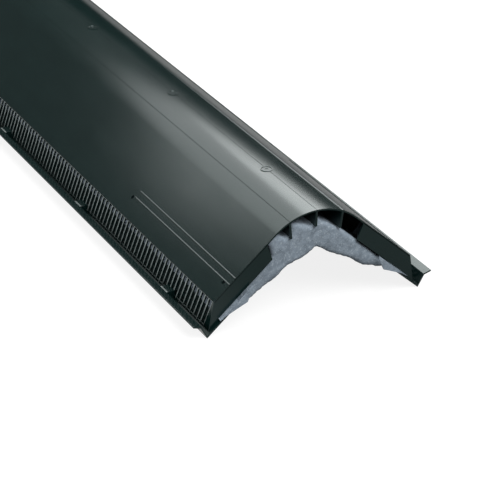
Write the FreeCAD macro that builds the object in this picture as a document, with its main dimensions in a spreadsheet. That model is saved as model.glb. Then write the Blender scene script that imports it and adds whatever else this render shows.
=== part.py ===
"""Shingle-over ridge vent: a black polypropylene cover moulded in one piece and bent to the roof's
pitch, with a grey glass-fibre weather filter held under its ribs.

Frame: X across the ridge, Y along it, Z up. The origin is at the bottom centre, and the vent stands
on the outer corners of its two base strips. Millimetres and degrees.
"""
import FreeCAD, Part
import math
import os
import re
import Sketcher

DRIVING_SIZES = {
    # whole vent: its length, how far the base strips start ahead of the panel, and its pitch
    "section_length": 1219.2,
    "end_step": 4.0,
    "slope_angle": 41.3,
    "cover_depth": 24.0,
    # panel that the ridge shingles are nailed to
    "crown_radius": 75.0,
    "slope_length": 95.0,
    "skin_thickness": 1.8,
    # ribs under the crown
    "rib_depth": 20.0,
    "rib_thickness": 2.5,
    "side_rib_angle": 25.5,
    "side_rib_lean": 6.3,
    # base strip and the wind baffle on its outer edge
    "edge_run": 33.5,
    "strip_width": 50.0,
    "strip_thickness": 2.0,
    "baffle_lean": 3.2,
    "baffle_height": 15.4,
    "baffle_thickness": 1.8,
    "lip_reach": 5.0,
    "lip_rise": 7.8,
    # slotted louvre wall between panel and base strip
    "louvre_foot": 5.7,
    "louvre_thickness": 2.0,
    "slot_width": 5.3,
    "slot_pitch": 8.4,
    "slot_slant": 15.5,
    "slot_head": 1.8,
    "slot_foot": 3.3,
    "cut_margin": 0.5,
    # gussets that brace the baffle against the louvre wall
    "gusset_length": 16.0,
    "gusset_rise": 4.5,
    "gusset_drop": 1.4,
    "gusset_first": 84.0,
    "gusset_spacing": 232.0,
    "gusset_count": 5,
    # walls that close each side at the two ends
    "end_wall_thickness": 2.2,
    "end_wall_reach": 81.8,
    "end_wall_lean": 7.3,
    "end_wall_foot": 24.0,
    # nail lines and nail holes
    "nail_row": 24.0,
    "nail_line_gap": 9.0,
    "nail_line_length": 232.0,
    "nail_line_width": 1.2,
    "nail_line_height": 0.5,
    "nail_hole_diameter": 4.5,
    "nail_hole_row": 21.8,
    "nail_hole_inset": 10.6,
    "nail_hole_second": 236.0,
    # round moulding gates along the crown
    "gate_diameter": 14.0,
    "gate_height": 0.4,
    "gate_first": 112.0,
    "gate_spacing": 232.0,
    "gate_count": 5,
    # weather filter
    "mat_crown_thickness": 29.2,
    "mat_slope_thickness": 18.7,
    "mat_clearance": 0.3,
    "mat_taper": 30.0,
    "mat_end_inset": 2.0,
}

# A slope's two directions are along, outward and down from the base corner, and above, square to it.
WORKED_OUT = {
    "panel_length": "section_length - end_step",
    "strip_start": "-section_length / 2",
    "panel_start": "strip_start + end_step",
    "edge_x": "crown_radius * sin(slope_angle) + slope_length * cos(slope_angle)",
    "edge_z": "edge_run * sin(slope_angle) + cover_depth * cos(slope_angle)",
    "base_x": "edge_x + edge_run * cos(slope_angle) - cover_depth * sin(slope_angle)",
    "crown_centre": "edge_z + slope_length * sin(slope_angle) - crown_radius * cos(slope_angle)",
    "crown_top": "crown_centre + crown_radius",
    "rib_root": "crown_radius - skin_thickness / 2",
    "side_rib_x": "rib_root * sin(side_rib_angle)",
    "side_rib_z": "crown_centre + rib_root * cos(side_rib_angle)",
    "louvre_run": "edge_run - louvre_foot",
    "louvre_drop": "cover_depth - strip_thickness",
    "louvre_length": "sqrt(louvre_run ^ 2 + louvre_drop ^ 2)",
    "louvre_width": "louvre_thickness * louvre_length / louvre_drop",
    "slot_run": "(louvre_length - slot_head - slot_foot) * tan(slot_slant)",
    "slot_reach": "slot_width + slot_run",
    "slot_count": "floor((panel_length - 2 * end_wall_thickness - slot_reach) / slot_pitch) + 1",
    "slot_span": "(slot_count - 1) * slot_pitch",
    "slot_start": "panel_start + (panel_length - slot_span - slot_reach) / 2",
    "mat_radius": "crown_radius - rib_depth - mat_clearance",
    "mat_top": "cover_depth - rib_depth - mat_clearance",
    "mat_bottom": "mat_top - mat_slope_thickness",
    "mat_tip": "-end_wall_foot - mat_clearance",
    "mat_low": "crown_centre + mat_radius - mat_crown_thickness",
}

doc = FreeCAD.newDocument("ridge_vent")
sheet = doc.addObject("Spreadsheet::Sheet", "Sizes")
for row, (word, size) in enumerate(DRIVING_SIZES.items(), start=1):
    sheet.set(f"A{row}", word)
    sheet.set(f"B{row}", str(size))
    sheet.setAlias(f"B{row}", word)
doc.recompute()


def formula(text):
    """The text with each size in it named as a cell of the sheet, and each worked-out one written out."""

    def written_out(match):
        word = match[0]
        if word in WORKED_OUT:
            return f"({formula(WORKED_OUT[word])})"
        return f"Sizes.{word}" if word in DRIVING_SIZES else word

    return re.sub("[a-z_]+", written_out, text)


def value(text):
    return float(sheet.evalExpression(formula(text)))


def on_slope(along, above):
    """Formulas for X and Z of a point on the right-hand slope."""
    return (
        f"base_x + ({along}) * cos(slope_angle) + ({above}) * sin(slope_angle)",
        f"({above}) * cos(slope_angle) - ({along}) * sin(slope_angle)",
    )


def bind(thing, path, text):
    thing.setExpression(path, formula(text))


def origin_feature(body, role):
    """One of the body's own axes or planes."""
    return next(item for item in body.Origin.OriginFeatures if item.Role == role)


def new_sketch(body, name, role, place, turn_axis=None, turn=None):
    """A sketch on one of the body's own planes, moved to a place and turned about an axis of that plane."""
    sketch = body.newObject("Sketcher::SketchObject", name)
    sketch.AttachmentSupport = [(origin_feature(body, role), "")]
    sketch.MapMode = "FlatFace"
    if turn:
        axis = FreeCAD.Vector(*turn_axis)
        sketch.AttachmentOffset = FreeCAD.Placement(FreeCAD.Vector(), FreeCAD.Rotation(axis, value(turn)))
        bind(sketch, "AttachmentOffset.Rotation.Angle", f"({turn}) * 1 deg")
    for direction, text in zip("xyz", place):
        bind(sketch, f"AttachmentOffset.Base.{direction}", text)
    return sketch


def section_sketch(body, name, start):
    """A sketch of a cross-section, in X and Z, at a start along the vent."""
    return new_sketch(body, name, "XZ_Plane", ("0", "0", f"-({start})"))


def slope_sketch(body, name, height):
    """A sketch at a height above the panel's slope: x is down the slope from the panel's edge, y along the vent."""
    x = f"edge_x + ({height}) * sin(slope_angle)"
    z = f"edge_z + ({height}) * cos(slope_angle)"
    return new_sketch(body, name, "XY_Plane", (x, "panel_start", z), (0, 1, 0), "slope_angle")


def join(sketch, kind, *ends):
    """A constraint between geometry of the sketch, with no size of its own."""
    sketch.addConstraint(Sketcher.Constraint(kind, *ends))


def measure(sketch, text, kind, *ends):
    """A constraint whose size is a formula."""
    number = sketch.addConstraint(Sketcher.Constraint(kind, *ends, value(text)))
    bind(sketch, f"Constraints[{number}]", text)


def tie(sketch, geometry, point, corner):
    """Ties a point of the sketch's geometry to formulas for its two coordinates."""
    for kind, text in zip(("DistanceX", "DistanceY"), corner):
        measure(sketch, text, kind, -1, 1, geometry, point)


def vector(corner):
    return FreeCAD.Vector(value(corner[0]), value(corner[1]), 0)


def add_line(sketch, start, end):
    return sketch.addGeometry(Part.LineSegment(vector(start), vector(end)), False)


def add_circle(sketch, middle, radius):
    return sketch.addGeometry(Part.Circle(vector(middle), FreeCAD.Vector(0, 0, 1), value(radius)), False)


def add_arc(sketch, middle, radius, start, end):
    """An arc from one angle to another, counted from the sketch's x direction."""
    circle = Part.Circle(vector(middle), FreeCAD.Vector(0, 0, 1), value(radius))
    arc = Part.ArcOfCircle(circle, math.radians(value(start)), math.radians(value(end)))
    return sketch.addGeometry(arc, False)


def closed_lines(sketch, corners):
    """Lines from corner to corner and back to the first, joined at their ends."""
    lines = [add_line(sketch, *ends) for ends in zip(corners, corners[1:] + corners[:1])]
    for line, following in zip(lines, lines[1:] + lines[:1]):
        join(sketch, "Coincident", line, 2, following, 1)
    return lines


def outline(sketch, corners):
    """A closed outline of straight lines through corners that are tied to their formulas."""
    for line, corner in zip(closed_lines(sketch, corners), corners):
        tie(sketch, line, 1, corner)


def rectangle(sketch, left, bottom, right, top):
    outline(sketch, [(left, bottom), (right, bottom), (right, top), (left, top)])


def feature(body, kind, name, sketch, length, reverse=False):
    """A pad or pocket of a sketch."""
    made = body.newObject(f"PartDesign::{kind}", name)
    made.Profile = sketch
    made.Reversed = reverse
    made.Refine = False
    bind(made, "Length", length)
    doc.recompute()
    return made


def repeat_along(body, name, original, span, count):
    """Copies of a feature along the vent."""
    pattern = body.newObject("PartDesign::LinearPattern", name)
    pattern.Originals = [original]
    pattern.Direction = (origin_feature(body, "Y_Axis"), [""])
    bind(pattern, "Length", span)
    bind(pattern, "Occurrences", count)
    pattern.Refine = False
    body.Tip = pattern
    doc.recompute()
    return pattern


def mirror_across(body, name):
    """The other side of the ridge."""
    mirrored = body.newObject("PartDesign::Mirrored", name)
    mirrored.TransformMode = "Whole shape"
    mirrored.MirrorPlane = (origin_feature(body, "YZ_Plane"), [""])
    body.Tip = mirrored
    doc.recompute()
    return mirrored


def crown_arc(sketch, centre, radius):
    """An arc about a centre on the ridge's middle plane, from the right-hand slope up to that plane."""
    return add_arc(sketch, ("0", centre), radius, "90 - slope_angle", "90")


# Cover: its right-hand half is modelled, and then mirrored across the ridge.
cover = doc.addObject("PartDesign::Body", "vent_cover")

# Panel: a thin skin with a round crown and a flat slope.
panel_section = section_sketch(cover, "panel_section", "panel_start")
skin_arcs = []
skin_lines = []
for depth in ("0", "skin_thickness"):
    arc = crown_arc(panel_section, "crown_centre", f"crown_radius - {depth}")
    tie(panel_section, arc, 3, ("0", "crown_centre"))
    measure(panel_section, f"crown_radius - {depth}", "Radius", arc)
    slope_top = on_slope("-edge_run - slope_length", f"cover_depth - {depth}")
    slope_edge = on_slope("-edge_run", f"cover_depth - {depth}")
    line = add_line(panel_section, slope_top, slope_edge)
    join(panel_section, "Tangent", arc, 1, line, 1)
    tie(panel_section, line, 2, slope_edge)
    skin_arcs.append(arc)
    skin_lines.append(line)
skin_edge = add_line(panel_section, on_slope("-edge_run", "cover_depth"), slope_edge)
join(panel_section, "Coincident", skin_lines[0], 2, skin_edge, 1)
join(panel_section, "Coincident", skin_lines[1], 2, skin_edge, 2)
ridge_line = add_line(panel_section, ("0", "crown_top"), ("0", "crown_top - skin_thickness"))
join(panel_section, "Coincident", skin_arcs[0], 2, ridge_line, 1)
join(panel_section, "Coincident", skin_arcs[1], 2, ridge_line, 2)
join(panel_section, "PointOnObject", ridge_line, 1, -2)
join(panel_section, "PointOnObject", ridge_line, 2, -2)
feature(cover, "Pad", "panel", panel_section, "panel_length", reverse=True)

# Ribs: half of the centre rib, and the side rib, which leans a little inward at its foot.
centre_rib = section_sketch(cover, "centre_rib_section", "panel_start")
rectangle(centre_rib, "0", "crown_top - rib_depth", "rib_thickness / 2", "crown_top - skin_thickness / 2")
feature(cover, "Pad", "centre_rib", centre_rib, "panel_length", reverse=True)
side_place = ("side_rib_x", "side_rib_z", "-panel_start")
side_rib = new_sketch(cover, "side_rib_section", "XZ_Plane", side_place, (0, 0, -1), "side_rib_lean")
rectangle(side_rib, "-rib_thickness / 2", "-rib_depth", "rib_thickness / 2", "0")
feature(cover, "Pad", "side_rib", side_rib, "panel_length", reverse=True)

# Base strip with the baffle: a wall that leans in from the strip's outer edge, and a lip that flares out.
strip_place = ("base_x", "0", "-strip_start")
strip_section = new_sketch(cover, "strip_section", "XZ_Plane", strip_place, (0, 0, -1), "slope_angle")
baffle_knee = ("-baffle_lean", "baffle_height")
lip_tip = ("lip_reach - baffle_lean", "baffle_height + lip_rise")
inner_tip = ("lip_reach - baffle_lean - baffle_thickness", "baffle_height + lip_rise + baffle_thickness / 2")
inner_knee = ("-baffle_lean - baffle_thickness", "baffle_height")
inner_foot = ("-baffle_thickness", "strip_thickness")
strip_top = ("-strip_width", "strip_thickness")
strip_bottom = ("-strip_width", "0")
corners = [("0", "0"), baffle_knee, lip_tip, inner_tip, inner_knee, inner_foot, strip_top, strip_bottom]
wall, lip, tip, inner_lip, inner_wall, top, inner_edge, bottom = closed_lines(strip_section, corners)
tie(strip_section, wall, 1, ("0", "0"))
tie(strip_section, lip, 1, baffle_knee)
tie(strip_section, tip, 1, lip_tip)
tie(strip_section, inner_edge, 1, strip_top)
tie(strip_section, bottom, 1, strip_bottom)
join(strip_section, "Horizontal", top)
join(strip_section, "Parallel", lip, inner_lip)
join(strip_section, "Parallel", wall, inner_wall)
join(strip_section, "Perpendicular", lip, tip)
for line in (inner_lip, inner_wall):
    measure(strip_section, "baffle_thickness", "Distance", lip, 1, line)
feature(cover, "Pad", "strip_and_baffle", strip_section, "panel_length", reverse=True)

# Louvre wall: a plate from the panel's edge down to the base strip, cut through by a row of slots.
louvre_section = section_sketch(cover, "louvre_section", "panel_start")
plate = [
    on_slope("-edge_run", "cover_depth"),
    on_slope("-louvre_foot", "strip_thickness"),
    on_slope("-louvre_foot - louvre_width", "strip_thickness"),
    on_slope("-edge_run - louvre_width", "cover_depth"),
]
outline(louvre_section, plate)
feature(cover, "Pad", "louvre_wall", louvre_section, "panel_length", reverse=True)

# Gussets: short blocks in the trough, from the louvre wall to the baffle just below its lip.
gusset_section = section_sketch(cover, "gusset_section", "panel_start + gusset_first")
louvre_middle = "-louvre_foot - louvre_width / 2"
block = [
    on_slope(louvre_middle, "strip_thickness / 2"),
    on_slope("-baffle_thickness / 2", "strip_thickness / 2"),
    on_slope("-baffle_lean - baffle_thickness / 2", "baffle_height - gusset_drop"),
    on_slope(f"{louvre_middle} - gusset_rise * louvre_run / louvre_drop", "strip_thickness + gusset_rise"),
]
outline(gusset_section, block)
gusset = feature(cover, "Pad", "gusset", gusset_section, "gusset_length", reverse=True)
repeat_along(cover, "gussets", gusset, "(gusset_count - 1) * gusset_spacing", "gusset_count")

# End walls: each closes the space under the slope, from the louvre wall in to a leaning inner edge.
wall_section = section_sketch(cover, "end_wall_section", "panel_start")
wall_corners = [
    on_slope("-edge_run - end_wall_reach", "cover_depth - skin_thickness / 2"),
    on_slope("-edge_run - end_wall_reach + end_wall_lean", "cover_depth - rib_depth"),
    on_slope("-end_wall_foot", "cover_depth - rib_depth"),
    on_slope("-end_wall_foot", "strip_thickness"),
    on_slope("-louvre_foot - louvre_width / 2", "strip_thickness"),
    on_slope("-edge_run - louvre_width / 2", "cover_depth - skin_thickness / 2"),
]
outline(wall_section, wall_corners)
near_wall = feature(cover, "Pad", "end_wall", wall_section, "end_wall_thickness", reverse=True)
repeat_along(cover, "end_walls", near_wall, "panel_length - end_wall_thickness", "2")

# Nail lines: two fine raised lines on each slope, from both ends towards the middle.
nail_lines = slope_sketch(cover, "nail_lines", "0")
for row in ("nail_row", "nail_row + nail_line_gap"):
    for start, end in (("0", "nail_line_length"), ("panel_length - nail_line_length", "panel_length")):
        rectangle(nail_lines, f"-({row}) - nail_line_width / 2", start, f"-({row}) + nail_line_width / 2", end)
feature(cover, "Pad", "nail_line_beads", nail_lines, "nail_line_height")

# Gates: low round pads along the crown, left where the plastic was let into the mould.
gate_place = ("0", "panel_start + gate_first", "crown_top + gate_height")
gate_sketch = new_sketch(cover, "gate_outline", "XY_Plane", gate_place)
rim = add_arc(gate_sketch, ("0", "0"), "gate_diameter / 2", "-90", "90")
across = add_line(gate_sketch, ("0", "gate_diameter / 2"), ("0", "-gate_diameter / 2"))
join(gate_sketch, "Coincident", rim, 3, -1, 1)
join(gate_sketch, "Coincident", rim, 2, across, 1)
join(gate_sketch, "Coincident", rim, 1, across, 2)
join(gate_sketch, "PointOnObject", across, 1, -2)
join(gate_sketch, "PointOnObject", across, 2, -2)
measure(gate_sketch, "gate_diameter / 2", "Radius", rim)
gate = feature(cover, "Pad", "gate", gate_sketch, "gate_height + skin_thickness / 2", reverse=True)
repeat_along(cover, "gates", gate, "(gate_count - 1) * gate_spacing", "gate_count")

# Nail holes: four through each slope, just below the lower nail line.
hole_sketch = slope_sketch(cover, "nail_hole_places", "nail_line_height")
for place in ("nail_hole_inset", "nail_hole_second"):
    for along in (place, f"panel_length - {place}"):
        hole = add_circle(hole_sketch, ("-nail_hole_row", along), "nail_hole_diameter / 2")
        tie(hole_sketch, hole, 3, ("-nail_hole_row", along))
        measure(hole_sketch, "nail_hole_diameter", "Diameter", hole)
feature(cover, "Pocket", "nail_holes", hole_sketch, "nail_line_height + skin_thickness + cut_margin")

# Slots: one is cut through the louvre wall, with its foot further along the vent, and repeated along it.
slot_turn = "slope_angle + atan(louvre_drop / louvre_run) / 1 deg"
slot_place = ("edge_x", "slot_start", "edge_z")
slot_sketch = new_sketch(cover, "slot_outline", "XY_Plane", slot_place, (0, 1, 0), slot_turn)
slot_corners = [
    ("slot_head", "0"),
    ("louvre_length - slot_foot", "slot_run"),
    ("louvre_length - slot_foot", "slot_reach"),
    ("slot_head", "slot_width"),
]
outline(slot_sketch, slot_corners)
slot = feature(cover, "Pocket", "slot", slot_sketch, "louvre_thickness + cut_margin")
repeat_along(cover, "slots", slot, "slot_span", "slot_count")
mirror_across(cover, "both_slopes")

# Weather filter: a thick mat under the ribs, pushed up between them, with thin edges that lap onto the
# base strips. Its section isn't symmetric, so it is drawn whole.
filter_mat = doc.addObject("PartDesign::Body", "filter_mat")
mat_section = section_sketch(filter_mat, "mat_section", "panel_start + mat_end_inset")


def on_left(corner):
    """The same point on the other side of the ridge."""
    return (f"-({corner[0]})", corner[1])


def by_side_rib(across, down):
    """Formulas for X and Z of a point beside the right-hand rib: outward from its middle, and down from its root."""
    return (
        f"side_rib_x + ({across}) * cos(side_rib_lean) - ({down}) * sin(side_rib_lean)",
        f"side_rib_z - ({across}) * sin(side_rib_lean) - ({down}) * cos(side_rib_lean)",
    )


clear_of_rib = "rib_thickness / 2 + mat_clearance"
under_rib = "rib_depth + mat_clearance"
under_skin = "cover_depth - skin_thickness - mat_clearance"
wall_foot = "-edge_run - end_wall_reach + end_wall_lean - 2 * mat_clearance"
wall_head = "-edge_run - end_wall_reach - 2 * mat_clearance"
outer_foot = by_side_rib(clear_of_rib, under_rib)
inner_foot = by_side_rib(f"-({clear_of_rib})", under_rib)
inner_root = by_side_rib(f"-({clear_of_rib})", "skin_thickness")
mat_edge = [
    on_slope("mat_tip", "mat_top"),
    on_slope("mat_tip", "strip_thickness + mat_clearance"),
    on_slope("-strip_width - mat_clearance", "strip_thickness + mat_clearance"),
    on_slope("-strip_width - mat_clearance", "0"),
    on_slope("-strip_width - mat_clearance - mat_taper", "mat_bottom"),
]
mat_teeth = [
    on_left(on_slope(wall_foot, "mat_top")),
    on_left(on_slope(wall_head, under_skin)),
    on_left(on_slope("-edge_run - slope_length", under_skin)),
    on_left(outer_foot),
    on_left(inner_foot),
    on_left(inner_root),
    (f"-({clear_of_rib})", f"crown_top - ({under_rib})"),
    (clear_of_rib, f"crown_top - ({under_rib})"),
    (clear_of_rib, "crown_top - rib_depth / 2"),
    inner_foot,
    outer_foot,
    on_slope(wall_foot, "mat_top"),
]
low_start = on_slope("-edge_run - slope_length", "mat_bottom")
corners = [*map(on_left, reversed(mat_edge)), *mat_teeth, *mat_edge]
chain = [on_left(low_start), *corners, low_start]
mat_lines = [add_line(mat_section, *ends) for ends in zip(chain, chain[1:])]
for line, following in zip(mat_lines, mat_lines[1:]):
    join(mat_section, "Coincident", line, 2, following, 1)
for line, corner in zip(mat_lines[1:], corners):
    tie(mat_section, line, 1, corner)
low_radius = "(mat_low * cos(slope_angle) - crown_centre * cos(slope_angle) - crown_radius + cover_depth"
low_radius += " - mat_bottom) / (cos(slope_angle) - 1)"
low_middle = ("0", f"mat_low - {low_radius}")
low_arc = add_arc(mat_section, low_middle, low_radius, "90 - slope_angle", "90 + slope_angle")
tie(mat_section, low_arc, 3, low_middle)
measure(mat_section, low_radius, "Radius", low_arc)
join(mat_section, "Tangent", low_arc, 1, mat_lines[-1], 2)
join(mat_section, "Tangent", low_arc, 2, mat_lines[0], 1)
feature(filter_mat, "Pad", "mat", mat_section, "panel_length - 2 * mat_end_inset", reverse=True)

# Every object has to have built, and every sketch has to be fully held, before anything is written.
for thing in doc.Objects:
    if {"Invalid", "Error"} & set(thing.State):
        raise RuntimeError(f"{thing.Label} did not build: {thing.State}")
    if thing.isDerivedFrom("Sketcher::SketchObject") and not thing.FullyConstrained:
        raise RuntimeError(f"{thing.Label} has geometry that no size holds")
os.makedirs("parts", exist_ok=True)
for body in (cover, filter_mat):
    shape = body.Shape
    if shape.isNull() or not shape.isValid() or len(shape.Solids) != 1:
        raise RuntimeError(f"{body.Label} is not one valid solid")
    print(body.Label, "volume", round(shape.Volume / 1000, 1), "cm3, faces", len(shape.Faces))
    shape.exportStep(f"parts/{body.Label}.step")
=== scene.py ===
import math

import bpy
from mathutils import Matrix, Quaternion, Vector


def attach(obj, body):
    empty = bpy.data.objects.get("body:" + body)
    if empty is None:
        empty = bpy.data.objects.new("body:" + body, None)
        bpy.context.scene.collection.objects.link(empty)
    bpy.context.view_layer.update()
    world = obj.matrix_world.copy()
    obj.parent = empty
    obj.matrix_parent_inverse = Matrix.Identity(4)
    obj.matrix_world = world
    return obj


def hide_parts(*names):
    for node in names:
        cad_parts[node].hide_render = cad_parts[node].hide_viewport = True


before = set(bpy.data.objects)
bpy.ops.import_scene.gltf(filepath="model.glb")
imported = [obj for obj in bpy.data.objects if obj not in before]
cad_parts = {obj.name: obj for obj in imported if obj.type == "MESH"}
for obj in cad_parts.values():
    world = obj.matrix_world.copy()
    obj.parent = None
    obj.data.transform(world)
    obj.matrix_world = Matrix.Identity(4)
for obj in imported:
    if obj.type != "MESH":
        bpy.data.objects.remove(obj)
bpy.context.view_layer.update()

# The panel
# The top of a one-piece black polypropylene moulding: a round crown between two flat slopes, 1.8 mm
# thick. Thin lines along the crown show where the ribs are below, and four nail holes go through each
# slope. Round seats are cut into the crown for the gates.
mm = 0.001
hair = 0.1 * mm
slope = math.radians(41.3)
near_end = -605.6 * mm
far_end = 609.6 * mm
skin = 1.8 * mm
skin_edge = (120.87 * mm, 40.14 * mm)
skin_rounding = 0.35 * mm
sharp_edge = math.radians(40)
crown_radius = 75 * mm
crown_centre = 46.496 * mm
crown_top = crown_centre + crown_radius
crown_steps = 42
# Each line over a rib: the crown's step that it lies on, half its width, and its rise as a share of that.
rib_lines = [(0, 0.35 * mm, -0.9), (13, 0.7 * mm, 0.8), (-13, 0.3 * mm, -0.9)]
nail_hole_radius = 2.25 * mm
nail_hole_sides = 28
nail_hole_up = 21.8 * mm
hole_from_end = 10.6 * mm
hole_further_in = 236 * mm
nail_hole_places = [
    near_end + hole_from_end, near_end + hole_further_in, far_end - hole_further_in, far_end - hole_from_end]
nail_hole_pin = 12 * mm
gate_radius = 7 * mm
gate_rim = 1.1 * mm
gate_first = near_end + 112 * mm
gate_spacing = 232 * mm
gate_count = 5
gate_seat_depth = 0.8 * mm
gate_seat_pin = 4 * mm
gate_seat_sides = 48


def up_slope(along, above):
    """A point of the section: so far up the right slope from the skin's edge, and so far above the skin."""
    x = skin_edge[0] - along * math.cos(slope) + above * math.sin(slope)
    z = skin_edge[1] + along * math.sin(slope) + above * math.cos(slope)
    return (x, z)


def start_point(name, point):
    """A new mesh of one vertex, left in edit mode, ready to be pulled out into a shape."""
    bpy.ops.object.select_all(action="DESELECT")
    bpy.ops.mesh.primitive_plane_add(size=mm)
    bpy.context.object.name = name
    bpy.ops.object.mode_set(mode="EDIT")
    bpy.ops.mesh.select_mode(type="VERT")
    bpy.ops.mesh.merge(type="CENTER")
    bpy.ops.transform.translate(value=point)
    return bpy.context.object


def pull(step):
    """Extrudes what is selected."""
    bpy.ops.mesh.extrude_region_move(TRANSFORM_OT_translate={"value": step})


def fill_and_pull(length):
    """Fills the drawn outline, pulls the face along the vent and turns all faces outwards."""
    bpy.ops.mesh.select_all(action="SELECT")
    bpy.ops.mesh.edge_face_add()
    pull((0, length, 0))
    bpy.ops.mesh.select_all(action="SELECT")
    bpy.ops.mesh.normals_make_consistent(inside=False)
    bpy.ops.object.mode_set(mode="OBJECT")


def pick(piece, test):
    """Selects the vertices that pass the test, and goes to edit mode."""
    bpy.ops.object.mode_set(mode="EDIT")
    bpy.ops.mesh.select_mode(type="VERT")
    bpy.ops.mesh.select_all(action="DESELECT")
    bpy.ops.object.mode_set(mode="OBJECT")
    for vertex in piece.data.vertices:
        vertex.select = test(vertex.co)
    bpy.ops.object.mode_set(mode="EDIT")


def apply_modifier(piece, kind, **settings):
    """Adds a modifier with its settings and applies it."""
    bpy.ops.object.select_all(action="DESELECT")
    piece.select_set(True)
    bpy.context.view_layer.objects.active = piece
    modifier = piece.modifiers.new(kind.title(), kind)
    for setting, value in settings.items():
        setattr(modifier, setting, value)
    bpy.ops.object.modifier_apply(modifier=modifier.name)


def join_to(piece, members):
    """Joins the members to the piece."""
    bpy.ops.object.select_all(action="DESELECT")
    for member in members:
        member.select_set(True)
    piece.select_set(True)
    bpy.context.view_layer.objects.active = piece
    bpy.ops.object.join()


def over_rib(place, rib):
    """Whether a point lies on the crown's outside, on the middle line of the rib at this angle."""
    across = place.x * math.cos(rib) - (place.z - crown_centre) * math.sin(rib)
    outward = place.x * math.sin(rib) + (place.z - crown_centre) * math.cos(rib)
    return abs(across) < hair and outward > crown_radius - skin / 2


outer_tangent = (crown_radius * math.sin(slope), crown_centre + crown_radius * math.cos(slope))
inner_tangent = (outer_tangent[0] - skin * math.sin(slope), outer_tangent[1] - skin * math.cos(slope))
inner_edge = (skin_edge[0] - skin * math.sin(slope), skin_edge[1] - skin * math.cos(slope))
turning_point = (0, near_end, crown_centre)
panel = start_point("vent_cover_moulding", (skin_edge[0], near_end, skin_edge[1]))
pull((outer_tangent[0] - skin_edge[0], 0, outer_tangent[1] - skin_edge[1]))
bpy.ops.mesh.spin(steps=crown_steps, angle=2 * slope, center=turning_point, axis=(0, 1, 0))
pull((outer_tangent[0] - skin_edge[0], 0, skin_edge[1] - outer_tangent[1]))
pull((skin_edge[0] - inner_edge[0], 0, inner_edge[1] - skin_edge[1]))
pull((inner_edge[0] - inner_tangent[0], 0, inner_tangent[1] - inner_edge[1]))
bpy.ops.mesh.spin(steps=crown_steps, angle=-2 * slope, center=turning_point, axis=(0, 1, 0))
pull((inner_edge[0] - inner_tangent[0], 0, inner_edge[1] - inner_tangent[1]))
fill_and_pull(far_end - near_end)

for step, half_width, rise in rib_lines:
    rib = step * 2 * slope / crown_steps
    pick(panel, lambda place: over_rib(place, rib))
    bpy.ops.mesh.bevel(offset=half_width, segments=2, affect="EDGES")
    bpy.ops.object.mode_set(mode="OBJECT")
    pick(panel, lambda place: over_rib(place, rib))
    bpy.ops.transform.translate(value=rise * half_width * Vector((math.sin(rib), 0, math.cos(rib))))
    bpy.ops.object.mode_set(mode="OBJECT")

bpy.ops.object.select_all(action="DESELECT")
core_pins = []
for side in (1, -1):
    for place in nail_hole_places:
        x, z = up_slope(nail_hole_up, 0)
        bpy.ops.mesh.primitive_cylinder_add(
            vertices=nail_hole_sides, radius=nail_hole_radius, depth=nail_hole_pin,
            location=(side * x, place, z), rotation=(0, side * slope, 0))
        core_pins.append(bpy.context.object)
for count in range(gate_count):
    bpy.ops.mesh.primitive_cylinder_add(
        vertices=gate_seat_sides, radius=gate_radius - gate_rim / 2, depth=gate_seat_pin,
        location=(0, gate_first + count * gate_spacing, crown_top - gate_seat_depth + gate_seat_pin / 2))
    core_pins.append(bpy.context.object)
core = core_pins[-1]
join_to(core, core_pins)
apply_modifier(panel, "BOOLEAN", operation="DIFFERENCE", object=core, solver="EXACT")
bpy.data.objects.remove(core)
apply_modifier(panel, "BEVEL", width=skin_rounding, segments=2,
               limit_method="ANGLE", angle_limit=sharp_edge)
cover_members = [panel]

# Ribs
# Three straight ribs stand under the crown along its whole length, moulded in one with the panel.
# They keep the crown from sagging and press on the filter below.
rib_half = 1.25 * mm
rib_root = 120.2 * mm
rib_foot = 101.5 * mm
centre_rib_section = [
    (rib_half, rib_root), (rib_half, rib_foot), (-rib_half, rib_foot), (-rib_half, rib_root)]
side_rib_section = [
    (30.9 * mm, 113.5 * mm), (33.3 * mm, 112.4 * mm), (30.95 * mm, 93.36 * mm), (28.46 * mm, 93.64 * mm)]
moulded_rounding = 0.4 * mm


def moulded_length(name, corners, near, far, rounding=0):
    """A straight length of one section, given by its corners, with its edges rounded where asked."""
    piece = start_point(name, (corners[0][0], near, corners[0][1]))
    for before, after in zip(corners, corners[1:]):
        pull((after[0] - before[0], 0, after[1] - before[1]))
    fill_and_pull(far - near)
    if rounding:
        apply_modifier(piece, "BEVEL", width=rounding, segments=2)
    return piece


def mirror(piece):
    """Adds the same shape on the other side of the ridge."""
    apply_modifier(piece, "MIRROR", use_mirror_merge=False)


centre_rib = moulded_length("centre_rib", centre_rib_section, near_end, far_end, moulded_rounding)
side_ribs = moulded_length("side_ribs", side_rib_section, near_end, far_end, moulded_rounding)
mirror(side_ribs)
cover_members += [centre_rib, side_ribs]

# Louvre walls
# A slotted wall hangs from each long edge of the panel; the air leaves the roof through its slots. The
# slots are cored straight through the moulding and slant towards the far end, with round bars between.
louvre_foot = (127.24 * mm, 5.26 * mm)
louvre_thickness = 2 * mm
slot_slant = math.radians(15.5)
slot_pitch = 8.4 * mm
slot_count = 143
slot_head = 1.8 * mm
slot_foot = 3.3 * mm
bar_width = 3.1 * mm
bar_rounding = 0.95 * mm
bar_edge = 0.2 * bar_width
end_post = 2.3 * mm
first_module = near_end + end_post
last_module = first_module + slot_count * slot_pitch
half_way = (skin_edge[1] + louvre_foot[1]) / 2
wall_down = Vector((louvre_foot[0] - skin_edge[0], 0, louvre_foot[1] - skin_edge[1]))
slanted_down = wall_down + Vector((0, wall_down.length * math.tan(slot_slant), 0))


def along_wall(place):
    """How far along the vent a point of the wall is, without the slots' slant."""
    return place.y - (skin_edge[1] - place.z) / -wall_down.z * slanted_down.y


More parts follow.
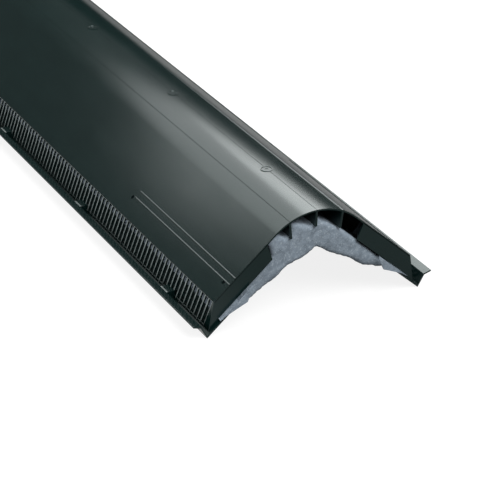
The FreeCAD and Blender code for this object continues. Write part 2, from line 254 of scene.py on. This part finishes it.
def in_slot(place):
    """Whether a corner of the first module belongs to its slot, and not to its outer edge."""
    return bar_edge < along_wall(place) - first_module < slot_pitch - bar_edge


def repeat(piece, count, spacing, **settings):
    """Copies the piece in a row along the vent."""
    apply_modifier(piece, "ARRAY", count=count, use_relative_offset=False, use_constant_offset=True,
                   constant_offset_displace=(0, spacing, 0), **settings)


louvres = start_point("louvre_walls", (skin_edge[0], first_module, skin_edge[1]))
pull(slanted_down)
bpy.ops.mesh.select_all(action="SELECT")
pull((0, slot_pitch, 0))
bpy.ops.mesh.select_all(action="SELECT")
rim = bar_width / 2 * math.cos(slot_slant)
bpy.ops.mesh.inset(thickness=rim)
bpy.ops.object.mode_set(mode="OBJECT")
pick(louvres, lambda place: in_slot(place) and place.z > half_way)
bpy.ops.transform.translate(value=(slot_head - rim) / wall_down.length * slanted_down)
bpy.ops.object.mode_set(mode="OBJECT")
pick(louvres, lambda place: in_slot(place) and place.z < half_way)
bpy.ops.transform.translate(value=(rim - slot_foot) / wall_down.length * slanted_down)
bpy.ops.object.mode_set(mode="OBJECT")
pick(louvres, in_slot)
bpy.ops.mesh.delete(type="ONLY_FACE")
bpy.ops.object.mode_set(mode="OBJECT")
repeat(louvres, slot_count, slot_pitch, use_merge_vertices=True, merge_threshold=hair / 10)
# The slanted ends of the row are pulled out into posts that stop square with the panel.
for module_end, wall_end in ((first_module, near_end), (last_module, far_end)):
    pick(louvres, lambda place: abs(along_wall(place) - module_end) < hair)
    pull((0, 0, 0))
    bpy.ops.transform.resize(value=(1, 0, 1), center_override=(0, wall_end, 0))
    bpy.ops.object.mode_set(mode="OBJECT")
apply_modifier(louvres, "SOLIDIFY", thickness=louvre_thickness, offset=-1)
apply_modifier(louvres, "BEVEL", width=bar_rounding, segments=3,
               limit_method="ANGLE", angle_limit=sharp_edge)
mirror(louvres)
cover_members.append(louvres)

# Base strips and wind baffles
# On each side a strip lies on the roof, and a baffle with a flared lip stands on its outer edge.
# Both are moulded in one with the louvre wall, and short gussets brace the baffle against it.
strip_shift = 4 * mm
strip_near = near_end - strip_shift
strip_far = far_end - strip_shift
strip_section = [
    (92.63 * mm, 33 * mm), (130.2 * mm, 0), (137.96 * mm, 13.68 * mm), (146.86 * mm, 16.24 * mm),
    (146.36 * mm, 17.97 * mm), (136.75 * mm, 15.21 * mm), (129.82 * mm, 2.99 * mm), (93.95 * mm, 34.5 * mm)]
gusset_section = [
    (125.4 * mm, 5.6 * mm), (130.2 * mm, 1.35 * mm), (136.4 * mm, 13.2 * mm), (133.4 * mm, 13.3 * mm),
    (124.8 * mm, 13.4 * mm)]
gusset_length = 16 * mm
gusset_first = near_end + 84 * mm
gusset_spacing = 232 * mm
gusset_count = 5

strips = moulded_length("base_strips", strip_section, strip_near, strip_far, moulded_rounding)
gussets = moulded_length(
    "gussets", gusset_section, gusset_first, gusset_first + gusset_length, moulded_rounding)
repeat(gussets, gusset_count, gusset_spacing)
for member in (strips, gussets):
    mirror(member)
    cover_members.append(member)

# End walls
# A thin wall closes each slope's hollow at both ends, between the panel, the louvre wall and the base
# strip. It is moulded with them and leaves the middle open, where the filter shows.
end_wall = 2.2 * mm
end_wall_rounding = 0.25 * mm
end_wall_section = [
    (59 * mm, 93.3 * mm), (51.7 * mm, 74.29 * mm), (114.81 * mm, 18.85 * mm), (113.49 * mm, 17.34 * mm),
    (126.6 * mm, 5.8 * mm), (120.2 * mm, 39.4 * mm)]

for wall_near in (near_end, far_end - end_wall):
    wall = moulded_length("end_wall", end_wall_section, wall_near, wall_near + end_wall, end_wall_rounding)
    mirror(wall)
    cover_members.append(wall)

# Nail lines and gates
# Two raised lines near each end of a slope show where the nails go, and round gates along the crown
# are where the plastic was let into the mould. All are low relief, moulded in one with the panel.
nail_lines_up = (24 * mm, 33 * mm)
nail_line_length = 232 * mm
nail_line_rounding = 0.15 * mm
# The lines' section, in millimetres up the slope and above the skin.
nail_line_section = [(-0.6, -1), (0.9, -1), (0.9, 0), (0, 0.5), (-0.4, 0.5), (-0.6, 0)]
gate_thickness = 1.6 * mm
gate_stands_out = 0.4 * mm
gate_sides = 40
hollow_wall = 0.5 * mm
hollow_depth = 0.6 * mm
pip_radius = 1.5 * mm
pip_wall = 0.4 * mm
pip_depth = 0.5 * mm

for up in nail_lines_up:
    outline = [up_slope(up + across * mm, above * mm) for across, above in nail_line_section]
    for near in (near_end, far_end - nail_line_length):
        line = moulded_length("nail_line", outline, near, near + nail_line_length, nail_line_rounding)
        mirror(line)
        cover_members.append(line)

bpy.ops.object.select_all(action="DESELECT")
bpy.ops.mesh.primitive_cylinder_add(
    vertices=gate_sides, radius=gate_radius, depth=gate_thickness,
    location=(0, gate_first, crown_top + gate_stands_out - gate_thickness / 2))
gates = bpy.context.object
gates.name = "gates"
bpy.ops.object.transform_apply(location=True)
pick(gates, lambda place: place.z > crown_top)
bpy.ops.mesh.inset(thickness=gate_rim)
bpy.ops.mesh.inset(thickness=hollow_wall)
bpy.ops.transform.translate(value=(0, 0, -hollow_depth))
bpy.ops.mesh.inset(thickness=gate_radius - gate_rim - hollow_wall - pip_wall - pip_radius)
bpy.ops.mesh.inset(thickness=pip_wall)
bpy.ops.transform.translate(value=(0, 0, -pip_depth))
bpy.ops.object.mode_set(mode="OBJECT")
repeat(gates, gate_count, gate_spacing)
cover_members.append(gates)

cover = panel
join_to(cover, cover_members)
cover_crease = math.radians(32)
bpy.ops.object.shade_smooth_by_angle(angle=cover_crease)
apply_modifier(cover, "WEIGHTED_NORMAL", keep_sharp=True)


def colour(code):
    """An sRGB hex colour as linear red, green, blue and alpha."""
    shares = [int(code[at:at + 2], 16) / 255 for at in (1, 3, 5)]
    return [s / 12.92 if s <= 0.04045 else ((s + 0.055) / 1.055) ** 2.4 for s in shares] + [1.0]


def new_finish(name):
    """A new material, with its node tree and its shader."""
    finish = bpy.data.materials.new(name)
    finish.use_nodes = True
    return finish, finish.node_tree, finish.node_tree.nodes["Principled BSDF"]


def node(tree, kind, links=(), **settings):
    """Adds a node, sets its values and links its inputs."""
    made = tree.nodes.new(kind)
    for setting, value in settings.items():
        if setting in made.bl_rna.properties:
            setattr(made, setting, value)
        else:
            made.inputs[setting.replace("_", " ")].default_value = value
    for socket, source in links:
        tree.links.new(source, made.inputs[socket])
    return made


# Black polypropylene, injection moulded: a satin, slightly wavy skin with a green-grey cast.
# The grain of a mould is finer than this, and is drawn as coarse as it needs to show.
plastic_ior = 1.49
grain_size = 1.2 * mm
wave_size = 45 * mm
flow_size = 18 * mm
drawn_out = (1, 0.3, 1)
polypropylene, tree, shader = new_finish("moulded_black_polypropylene")
shader.inputs["IOR"].default_value = plastic_ior
shader.inputs["Specular Tint"].default_value = colour("#ebfbfa")
places = node(tree, "ShaderNodeTexCoord").outputs["Object"]
grain = node(tree, "ShaderNodeTexNoise", [("Vector", places)], Scale=1 / grain_size, Detail=2)
stretched = node(tree, "ShaderNodeMapping", [("Vector", places)], Scale=drawn_out).outputs["Vector"]
waves = node(tree, "ShaderNodeTexNoise", [("Vector", stretched)], Scale=1 / wave_size, Detail=1)
flow = node(tree, "ShaderNodeTexNoise", [("Vector", stretched)], Scale=1 / flow_size, Detail=4)
tone = node(tree, "ShaderNodeMix", [("Factor", flow.outputs["Fac"])], data_type="RGBA")
tone.inputs["A"].default_value = colour("#061615")
tone.inputs["B"].default_value = colour("#091c1b")
satin = node(tree, "ShaderNodeMapRange", [("Value", flow.outputs["Fac"])], To_Min=0.19, To_Max=0.26)
wavy = node(tree, "ShaderNodeBump", [("Height", waves.outputs["Fac"])], Strength=0.3, Distance=0.4 * mm)
skin_relief = node(
    tree, "ShaderNodeBump", [("Height", grain.outputs["Fac"]), ("Normal", wavy.outputs["Normal"])],
    Strength=0.02, Distance=0.1 * mm)
tree.links.new(tone.outputs["Result"], shader.inputs["Base Color"])
tree.links.new(satin.outputs["Result"], shader.inputs["Roughness"])
tree.links.new(skin_relief.outputs["Normal"], shader.inputs["Normal"])
cover.data.materials.clear()
cover.data.materials.append(polypropylene)

# The same plastic on the fronts of the louvre bars and on the gussets' edges: matt, with a painted
# highlight in mottled light grey, which painted shade dims low down, under the lip.
highlight_mottle_size = 4 * mm
painted_shade_bottom = 6 * mm
painted_shade_top = 32 * mm
painted_highlight_plastic, tree, shader = new_finish("black_polypropylene_painted_highlight")
shader.inputs["IOR"].default_value = plastic_ior
shader.inputs["Roughness"].default_value = 0.55
places = node(tree, "ShaderNodeTexCoord").outputs["Object"]
highlight_mottle = node(tree, "ShaderNodeTexNoise", [("Vector", places)], Scale=1 / highlight_mottle_size, Detail=3)
height = node(tree, "ShaderNodeSeparateXYZ", [("Vector", places)])
# Painted shade: the painted highlight is dimmer lower down on the bars, where the lip shades them.
out_of_painted_shade = node(tree, "ShaderNodeMapRange", [("Value", height.outputs["Z"])],
               From_Min=painted_shade_bottom, From_Max=painted_shade_top, To_Min=0.5, To_Max=1)
painted_highlight_share = node(tree, "ShaderNodeMath", [(0, out_of_painted_shade.outputs["Result"]), (1, highlight_mottle.outputs["Fac"])],
            operation="MULTIPLY")
tone = node(tree, "ShaderNodeMix", [("Factor", painted_highlight_share.outputs["Value"])], data_type="RGBA")
tone.inputs["A"].default_value = colour("#1a2424")
tone.inputs["B"].default_value = colour("#b2bdbc")
tree.links.new(tone.outputs["Result"], shader.inputs["Base Color"])
cover.data.materials.append(painted_highlight_plastic)

bar_faces_out = 0.93
bar_reach = 8 * mm
gusset_faces_up = 0.9
gusset_edge = (133.4 * mm, 136.4 * mm)
gusset_edge_heights = (12.5 * mm, 13.6 * mm)


def front_of_bar(face):
    """Whether a face looks outwards on the bars of a louvre wall."""
    outward = face.normal.x if face.center.x > 0 else -face.normal.x
    beside = louvre_foot[0] - bar_reach < abs(face.center.x) < louvre_foot[0]
    between = louvre_foot[1] + slot_foot < face.center.z < skin_edge[1] - mm
    in_row = first_module < along_wall(face.center) < last_module
    return outward > bar_faces_out and beside and between and in_row


def edge_of_gusset(face):
    """Whether a face is the upper edge of a gusset, next to the lip."""
    beside = gusset_edge[0] < abs(face.center.x) < gusset_edge[1]
    level = gusset_edge_heights[0] < face.center.z < gusset_edge_heights[1]
    return face.normal.z > gusset_faces_up and beside and level


# The fronts of the bars and the upper edges of the gussets get the painted highlight.
bpy.ops.object.mode_set(mode="EDIT")
bpy.ops.mesh.select_mode(type="FACE")
bpy.ops.mesh.select_all(action="DESELECT")
bpy.ops.object.mode_set(mode="OBJECT")
for face in cover.data.polygons:
    face.select = front_of_bar(face) or edge_of_gusset(face)
cover.active_material_index = 1
bpy.ops.object.mode_set(mode="EDIT")
bpy.ops.object.material_slot_assign()
bpy.ops.object.mode_set(mode="OBJECT")
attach(cover, "root")
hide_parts("vent_cover")

# Filter mat
# A mat of grey glass-fibre wool, cut from a roll, lies under the ribs along the whole vent and keeps
# snow and insects out. It is pushed up between the ribs and hangs down unevenly below them. Its edges
# lap onto the base strips, hang over their near ends, and swell up under the right slope.
mat_near = near_end + 2 * mm
mat_far = far_end - 2 * mm
# The mat's section, in millimetres across and up.
mat_top = [
    (-114, 18.6), (-51.2, 74.1), (-57.6, 92.6), (-48.2, 100.8), (-31.2, 92.6), (-28.2, 93),
    (-30.2, 111.2), (-1.6, 100.8), (1.6, 100.8), (1.7, 111), (28.1, 93), (31.2, 92.6),
    (51.2, 74.1), (114, 18.6)]
mat_bottom = [
    (113.5, 17.9), (94, 35.1), (92.2, 33.3), (88.7, 30.4), (78.2, 32.7), (61.9, 39), (47.8, 50.2),
    (16.1, 65.5), (3.4, 74), (-9.5, 66.5), (-31.6, 60.5), (-43.5, 49), (-69.1, 35), (-79.4, 28),
    (-88.9, 25.6), (-91.9, 29), (-92.2, 33.3), (-94, 35.1), (-113.5, 17.9)]
wool_voxel = 3.3 * mm
wool_relief = [("wool_lumps", 26 * mm, 3.4 * mm), ("wool_tufts", 7 * mm, 1.2 * mm)]
wool_level = 0.62
wool_crease = math.radians(60)
lap_outer = 23 * mm
lap_inner = 51.5 * mm
lap_low = 2.2 * mm
lap_high = 3.7 * mm
lap_point = 7 * mm
lap_near = strip_near - mm
lap_turn = near_end + 200 * mm
lap_narrowing = 10 * mm
lap_cuts = 16
lap_unevenness = 0.5 * mm
# The wool that hangs over the near end, and the wool that swells up: millimetres in from the base
# strip's outer corner and above its underside.
droop_section = [(30, 3.2), (38, 0.6), (51.5, -3.6), (57, -5.5), (72, 1), (74, 3.7)]
droop_near = strip_near - 1.6 * mm
droop_far = strip_near - hair
rise_section = [(33, 3.5), (51.5, 3.5), (51.5, 21.3), (38, 21.3)]
rise_near = near_end + 80 * mm
base_corner = strip_section[1][0]


def on_base(along, above):
    """A point of the section: so far in from the base strip's outer corner and above its underside."""
    x = base_corner - along * math.cos(slope) + above * math.sin(slope)
    z = along * math.sin(slope) + above * math.cos(slope)
    return (x, z)


mat_section = [(x * mm, z * mm) for x, z in mat_top + mat_bottom]
mat = moulded_length("filter_wool", mat_section, mat_near, mat_far)
apply_modifier(mat, "REMESH", mode="VOXEL", voxel_size=wool_voxel)
for name, size, depth in wool_relief:
    lumps = bpy.data.textures.new(name, "CLOUDS")
    lumps.noise_scale = size
    apply_modifier(mat, "DISPLACE", texture=lumps, strength=depth, mid_level=wool_level,
                   texture_coords="LOCAL")
lap_section = [
    on_base(lap_outer + lap_point, lap_low), on_base(lap_inner, lap_low),
    on_base(lap_inner, lap_high), on_base(lap_outer, lap_high)]
lap_edge_height = on_base(lap_outer + 2 * lap_point, lap_high)[1]
lap = moulded_length("wool_lap", lap_section, lap_near, lap_turn)
pick(lap, lambda place: place.y > lap_turn - mm and place.z < lap_edge_height)
bpy.ops.transform.translate(value=(-lap_narrowing * math.cos(slope), 0, lap_narrowing * math.sin(slope)))
bpy.ops.object.mode_set(mode="OBJECT")
pick(lap, lambda place: place.y > lap_turn - mm)
pull((0, mat_far - lap_turn, 0))
bpy.ops.object.mode_set(mode="OBJECT")
pick(lap, lambda place: place.y < lap_near + mm)
bpy.ops.mesh.subdivide(number_cuts=lap_cuts)
bpy.ops.object.mode_set(mode="OBJECT")
pick(lap, lambda place: place.y < lap_near + mm)
bpy.ops.transform.vertex_random(offset=lap_unevenness, seed=4)
bpy.ops.object.mode_set(mode="OBJECT")
droop = moulded_length(
    "wool_droop", [on_base(along * mm, above * mm) for along, above in droop_section], droop_near, droop_far)
mirror(lap)
mirror(droop)
swelling = moulded_length(
    "wool_rise", [on_base(along * mm, above * mm) for along, above in rise_section], rise_near, mat_far)
join_to(mat, (lap, droop, swelling))
bpy.ops.object.shade_smooth_by_angle(angle=wool_crease)

# Glass-fibre wool, felted: matt and blue-grey, with paler strands over darker patches, spread at random.
# Single fibres are far too fine to show, so they are drawn as strands of 2 mm.
clump_size = 7 * mm
strand_size = 2 * mm
wool, tree, shader = new_finish("grey_glass_fibre_wool")
shader.inputs["Roughness"].default_value = 0.95
shader.inputs["IOR"].default_value = 1.3
places = node(tree, "ShaderNodeTexCoord").outputs["Object"]
clumps = node(tree, "ShaderNodeTexNoise", [("Vector", places)],
              Scale=1 / clump_size, Detail=5, Roughness=0.65)
strands = node(tree, "ShaderNodeTexNoise", [("Vector", places)],
               Scale=1 / strand_size, Detail=4, Distortion=1.5)
ramp = node(tree, "ShaderNodeValToRGB", [("Fac", clumps.outputs["Fac"])])
ramp.color_ramp.elements[0].position = 0.3
ramp.color_ramp.elements[0].color = colour("#66717b")
ramp.color_ramp.elements[1].position = 0.7
ramp.color_ramp.elements[1].color = colour("#8995a0")
pale = node(tree, "ShaderNodeMapRange", [("Value", strands.outputs["Fac"])], From_Min=0.55, From_Max=0.75)
tone = node(tree, "ShaderNodeMix", [("Factor", pale.outputs["Result"]), ("A", ramp.outputs["Color"])],
            data_type="RGBA")
tone.inputs["B"].default_value = colour("#aeb8bf")
fuzz = node(tree, "ShaderNodeBump", [("Height", strands.outputs["Fac"])], Strength=0.45, Distance=1.2 * mm)
tree.links.new(tone.outputs["Result"], shader.inputs["Base Color"])
tree.links.new(fuzz.outputs["Normal"], shader.inputs["Normal"])
mat.data.materials.clear()
mat.data.materials.append(wool)
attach(mat, "root")
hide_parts("filter_mat")

# Floor and light
# A plain white round table top, a soft overall light and four soft lamps: two narrow ones behind on the
# right, which draw the highlights along the crown, one in front and one on the left. A black screen
# behind on the right, out of the picture, keeps the right side of the crown dark.
table_radius = 1
table_sides = 128
table_middle = (0.02, -0.1, 0)
table_glow = 0.85
mirrored_glow = (0.6, 0.05)
painted_shadow_span = (-0.16, -0.02)
bpy.ops.object.select_all(action="DESELECT")
bpy.ops.mesh.primitive_circle_add(
    vertices=table_sides, radius=table_radius, fill_type="NGON", location=table_middle)
floor = bpy.context.object
floor.name = "studio_table"
bpy.ops.object.transform_apply(location=True)

# White paper: matt, and lit up to white for the camera. What the plastic mirrors of it is dimmer, and
# fades towards the right as a painted shadow of the vent, seen only in reflections.
paper, tree, shader = new_finish("white_paper")
shader.inputs["Roughness"].default_value = 0.9
shader.inputs["Base Color"].default_value = colour("#6a6a6a")
rays = node(tree, "ShaderNodeLightPath")
mirrored = node(
    tree, "ShaderNodeMath", [(0, rays.outputs["Is Glossy Ray"]), (1, rays.outputs["Is Transmission Ray"])],
    operation="ADD", use_clamp=True)
places = node(tree, "ShaderNodeTexCoord").outputs["Object"]
across = node(tree, "ShaderNodeSeparateXYZ", [("Vector", places)])
# Painted shadow: the paper's glow in reflections fades towards the right, where the vent's shadow falls.
painted_shadow = node(tree, "ShaderNodeMapRange", [("Value", across.outputs["X"])],
            From_Min=painted_shadow_span[0], From_Max=painted_shadow_span[1],
            To_Min=mirrored_glow[0], To_Max=mirrored_glow[1])
dimmed = node(tree, "ShaderNodeMath", [(0, mirrored.outputs["Value"]), (1, painted_shadow.outputs["Result"])],
              operation="MULTIPLY")
glow = node(tree, "ShaderNodeMath", [(0, rays.outputs["Is Camera Ray"]), (2, dimmed.outputs["Value"])],
            operation="MULTIPLY_ADD")
glow.inputs[1].default_value = table_glow
shader.inputs["Emission Color"].default_value = colour("#ffffff")
tree.links.new(glow.outputs["Value"], shader.inputs["Emission Strength"])
floor.data.materials.append(paper)

# Black felt: dull, and seen only in what the plastic mirrors.
screen_middle = (1.2, 1.5, 0.34)
screen_turn = math.radians(-36)
screen_width = 2.2
screen_height = 0.8
bpy.ops.mesh.primitive_plane_add(
    size=1, location=screen_middle, rotation=(math.radians(90), 0, screen_turn))
screen = bpy.context.object
screen.name = "studio_screen"
bpy.ops.transform.resize(value=(screen_width, screen_width, screen_height), center_override=screen_middle)
bpy.ops.object.transform_apply(location=True, rotation=True, scale=True)
screen.visible_camera = False
felt, tree, shader = new_finish("black_felt")
shader.inputs["Base Color"].default_value = colour("#080808")
shader.inputs["Roughness"].default_value = 1
screen.data.materials.append(felt)

# The overall light is weak, and white where the camera sees past the table.
overall_light = 0.15
world = bpy.data.worlds.new("studio")
bpy.context.scene.world = world
world.use_nodes = True
tree = world.node_tree
background = tree.nodes["Background"]
background.inputs["Color"].default_value = colour("#ffffff")
rays = node(tree, "ShaderNodeLightPath")
strength = node(tree, "ShaderNodeMapRange", [("Value", rays.outputs["Is Camera Ray"])],
                To_Min=overall_light, To_Max=1)
tree.links.new(strength.outputs["Result"], background.inputs["Strength"])


def soft_lamp(name, place, aim, width, height, power, lean=0):
    """A rectangular soft box that faces a point, and may lean to one side by some degrees."""
    lamp = bpy.data.lights.new(name, "AREA")
    lamp.shape = "RECTANGLE"
    lamp.size = width
    lamp.size_y = height
    lamp.energy = power
    holder = bpy.data.objects.new(name, lamp)
    holder.location = place
    facing = (Vector(aim) - Vector(place)).to_track_quat("-Z", "Y")
    holder.rotation_euler = (facing @ Quaternion((0, 0, 1), math.radians(lean))).to_euler()
    bpy.context.scene.collection.objects.link(holder)


soft_lamp("strip_box", place=(0.585, 0.2, 0.76), aim=(0.52, -0.53, 0.1),
          width=2.25, height=0.56, power=10.6)
soft_lamp("crest_box", place=(0.98, 0.22, 0.78), aim=(0.9, -0.53, 0.1),
          width=1.5, height=0.56, power=7.3, lean=8)
soft_lamp("front_box", place=(0.4, -2.2, 2.4), aim=(0, -0.4, 0), width=2, height=2, power=108)
soft_lamp("side_box", place=(-1.6, -0.5, 0.7), aim=(-0.2, -0.3, 0), width=1.2, height=0.8, power=13)

# Camera
# The photograph's view: from the left, in front and above, with a long lens.
# It is turned to the right, tipped down and rolled a little, in degrees.
turn_right = 28.138
tip_down = 27.281
roll = 1.089
bpy.context.scene.view_settings.view_transform = "Standard"
lens = bpy.data.cameras.new("photo_view")
lens.sensor_width = 36
lens.lens = 156.93
camera = bpy.data.objects.new("photo_view", lens)
camera.location = (-1.00198, -2.30846, 1.10218)
turned = Matrix.Rotation(math.radians(-turn_right), 3, "Z")
tipped = Matrix.Rotation(math.radians(90 - tip_down), 3, "X")
rolled = Matrix.Rotation(math.radians(roll), 3, "Z")
camera.rotation_euler = (turned @ tipped @ rolled).to_euler()
bpy.context.scene.collection.objects.link(camera)
bpy.context.scene.camera = camera
